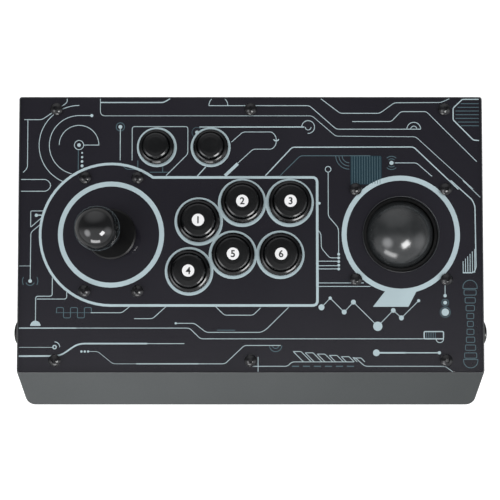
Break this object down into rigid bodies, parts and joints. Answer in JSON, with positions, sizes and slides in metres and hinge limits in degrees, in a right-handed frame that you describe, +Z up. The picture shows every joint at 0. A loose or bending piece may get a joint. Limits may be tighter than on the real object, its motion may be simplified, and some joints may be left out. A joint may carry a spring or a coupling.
{
  "type": "arcade joystick panel",
  "caption": "Desktop arcade control box: ball-top joystick, round push buttons and a trackball under a clear acrylic sheet with printed circuit-trace artwork, with a sloped front edge.",
  "frame": {"origin": "centre of the case's footprint, on the surface that the rubber feet stand on", "axes": "+Z up, +Y away from the player, +X to the player's right"},
  "size_m": [0.3736, 0.244, 0.14],
  "materials": {
    "case_finish": "satin, faintly textured",
    "clear_acrylic": "polished",
    "printed_sheet": "printed circuit-trace artwork",
    "galvanised_steel": "brushed",
    "black_screws": "black oxide",
    "bright_steel": "ground",
    "brass": "turned",
    "rubber_feet": "matte",
    "black_gloss_plastic": "polished",
    "trackball_resin": "polished",
    "black_nylon": "moulded",
    "switch_plastic": "moulded",
    "circuit_board": "solder mask",
    "wire_insulation": "plain"
  },
  "bodies": {
    "case": {"case_shell": "case_finish", "threaded_inserts": "brass", "bottom_plate": "galvanised_steel", "bottom_plate_screws": "black_screws", "rubber_feet": "rubber_feet", "acrylic_panel": "clear_acrylic", "artwork_sheet": "printed_sheet", "control_plate": "galvanised_steel", "panel_screws": "black_screws", "control_mounting_screws": "black_screws", "control_mounting_nuts": "bright_steel", "joystick_mounting_plate": "galvanised_steel", "joystick_housing": "black_nylon", "restrictor_gate": "black_nylon", "joystick_microswitches": "switch_plastic", "main_button_housings": "black_gloss_plastic", "small_button_housings": "black_gloss_plastic", "button_nuts": "black_nylon", "button_springs": "bright_steel", "button_microswitches": "switch_plastic", "trackball_mounting_plate": "galvanised_steel", "trackball_collar": "black_nylon", "trackball_housing": "black_nylon", "trackball_housing_screws": "bright_steel", "roller_bearings": "bright_steel", "idler_pin": "bright_steel", "optical_sensors": "black_nylon", "trackball_sensor_boards": "circuit_board", "encoder_board": "circuit_board", "encoder_board_standoffs": "brass", "encoder_board_screws": "bright_steel", "usb_socket": "bright_steel", "wiring_looms": "wire_insulation"},
    "gimbal": {"gimbal_ring": "black_nylon"},
    "stick": {"ball_knob": "black_gloss_plastic", "stick_shaft": "bright_steel", "shaft_cover": "black_nylon", "cross_pin": "bright_steel", "actuator": "black_nylon", "retaining_clip": "bright_steel", "return_spring": "bright_steel"},
    "hub": {"washer_hub": "black_nylon"},
    "washer": {"dust_washer": "black_nylon"},
    "trackball": {"trackball": "trackball_resin"},
    "front_roller": {"front_roller": "bright_steel", "front_encoder_wheel": "black_nylon"},
    "left_roller": {"left_roller": "bright_steel", "left_encoder_wheel": "black_nylon"},
    "idler": {"idler_bearing": "bright_steel"},
    "main_plunger_1": {"main_plunger_1": "black_gloss_plastic"},
    "main_plunger_2": {"main_plunger_2": "black_gloss_plastic"},
    "main_plunger_3": {"main_plunger_3": "black_gloss_plastic"},
    "main_plunger_4": {"main_plunger_4": "black_gloss_plastic"},
    "main_plunger_5": {"main_plunger_5": "black_gloss_plastic"},
    "main_plunger_6": {"main_plunger_6": "black_gloss_plastic"},
    "left_small_plunger": {"left_small_plunger": "black_gloss_plastic"},
    "right_small_plunger": {"right_small_plunger": "black_gloss_plastic"},
    "left_side_plunger": {"left_side_plunger": "black_gloss_plastic"},
    "right_side_plunger": {"right_side_plunger": "black_gloss_plastic"}
  },
  "joints": [
    {"name": "stick_front_back", "type": "hinge", "parent": "case", "child": "gimbal", "pos_m": [-0.108, 0.0142, 0.058], "axis": [1, 0, 0], "range_deg": [-9, 9], "stiffness_Nm_per_rad": 0.6, "deforming": ["return_spring"]},
    {"name": "stick_left_right", "type": "hinge", "parent": "gimbal", "child": "stick", "pos_m": [-0.108, 0.0142, 0.058], "axis": [0, 1, 0], "range_deg": [-9, 9], "stiffness_Nm_per_rad": 0.6, "deforming": ["return_spring"]},
    {"name": "washer_level_left_right", "type": "hinge", "parent": "stick", "child": "hub", "pos_m": [-0.108, 0.0142, 0.0835], "axis": [0, 1, 0], "range_deg": [-9, 9]},
    {"name": "washer_level_front_back", "type": "hinge", "parent": "hub", "child": "washer", "pos_m": [-0.108, 0.0142, 0.0835], "axis": [1, 0, 0], "range_deg": [-9, 9]},
    {"name": "trackball_roll", "type": "hinge", "parent": "case", "child": "trackball", "pos_m": [0.1165, 0.0142, 0.066], "axis": [1, 0, 0], "continuous": true},
    {"name": "front_roller_spin", "type": "hinge", "parent": "case", "child": "front_roller", "pos_m": [0.1165, -0.00939, 0.04241], "axis": [1, 0, 0], "continuous": true},
    {"name": "left_roller_spin", "type": "hinge", "parent": "case", "child": "left_roller", "pos_m": [0.09291, 0.0142, 0.04241], "axis": [0, 1, 0], "continuous": true},
    {"name": "idler_spin", "type": "hinge", "parent": "case", "child": "idler", "pos_m": [0.13405, 0.03175, 0.04118], "axis": [0.7071, -0.7071, 0], "continuous": true},
    {"name": "main_press_1", "type": "slide", "parent": "case", "child": "main_plunger_1", "axis": [0, 0, -1], "range_m": [0, 0.003], "stiffness_N_per_m": 250, "deforming": ["button_springs"]},
    {"name": "main_press_2", "type": "slide", "parent": "case", "child": "main_plunger_2", "axis": [0, 0, -1], "range_m": [0, 0.003], "stiffness_N_per_m": 250, "deforming": ["button_springs"]},
    {"name": "main_press_3", "type": "slide", "parent": "case", "child": "main_plunger_3", "axis": [0, 0, -1], "range_m": [0, 0.003], "stiffness_N_per_m": 250, "deforming": ["button_springs"]},
    {"name": "main_press_4", "type": "slide", "parent": "case", "child": "main_plunger_4", "axis": [0, 0, -1], "range_m": [0, 0.003], "stiffness_N_per_m": 250, "deforming": ["button_springs"]},
    {"name": "main_press_5", "type": "slide", "parent": "case", "child": "main_plunger_5", "axis": [0, 0, -1], "range_m": [0, 0.003], "stiffness_N_per_m": 250, "deforming": ["button_springs"]},
    {"name": "main_press_6", "type": "slide", "parent": "case", "child": "main_plunger_6", "axis": [0, 0, -1], "range_m": [0, 0.003], "stiffness_N_per_m": 250, "deforming": ["button_springs"]},
    {"name": "left_small_press", "type": "slide", "parent": "case", "child": "left_small_plunger", "axis": [0, 0, -1], "range_m": [0, 0.003], "stiffness_N_per_m": 250, "deforming": ["button_springs"]},
    {"name": "right_small_press", "type": "slide", "parent": "case", "child": "right_small_plunger", "axis": [0, 0, -1], "range_m": [0, 0.003], "stiffness_N_per_m": 250, "deforming": ["button_springs"]},
    {"name": "left_side_press", "type": "slide", "parent": "case", "child": "left_side_plunger", "axis": [1, 0, 0], "range_m": [0, 0.003], "stiffness_N_per_m": 250, "deforming": ["button_springs"]},
    {"name": "right_side_press", "type": "slide", "parent": "case", "child": "right_side_plunger", "axis": [-1, 0, 0], "range_m": [0, 0.003], "stiffness_N_per_m": 250, "deforming": ["button_springs"]}
  ],
  "couplings": [
    {"joint": "washer_level_left_right", "follows": "stick_left_right", "ratio": -1},
    {"joint": "washer_level_front_back", "follows": "stick_front_back", "ratio": -1},
    {"joint": "front_roller_spin", "follows": "trackball_roll", "ratio": -6.0158},
    {"joint": "idler_spin", "follows": "trackball_roll", "ratio": -3.1086}
  ]
}
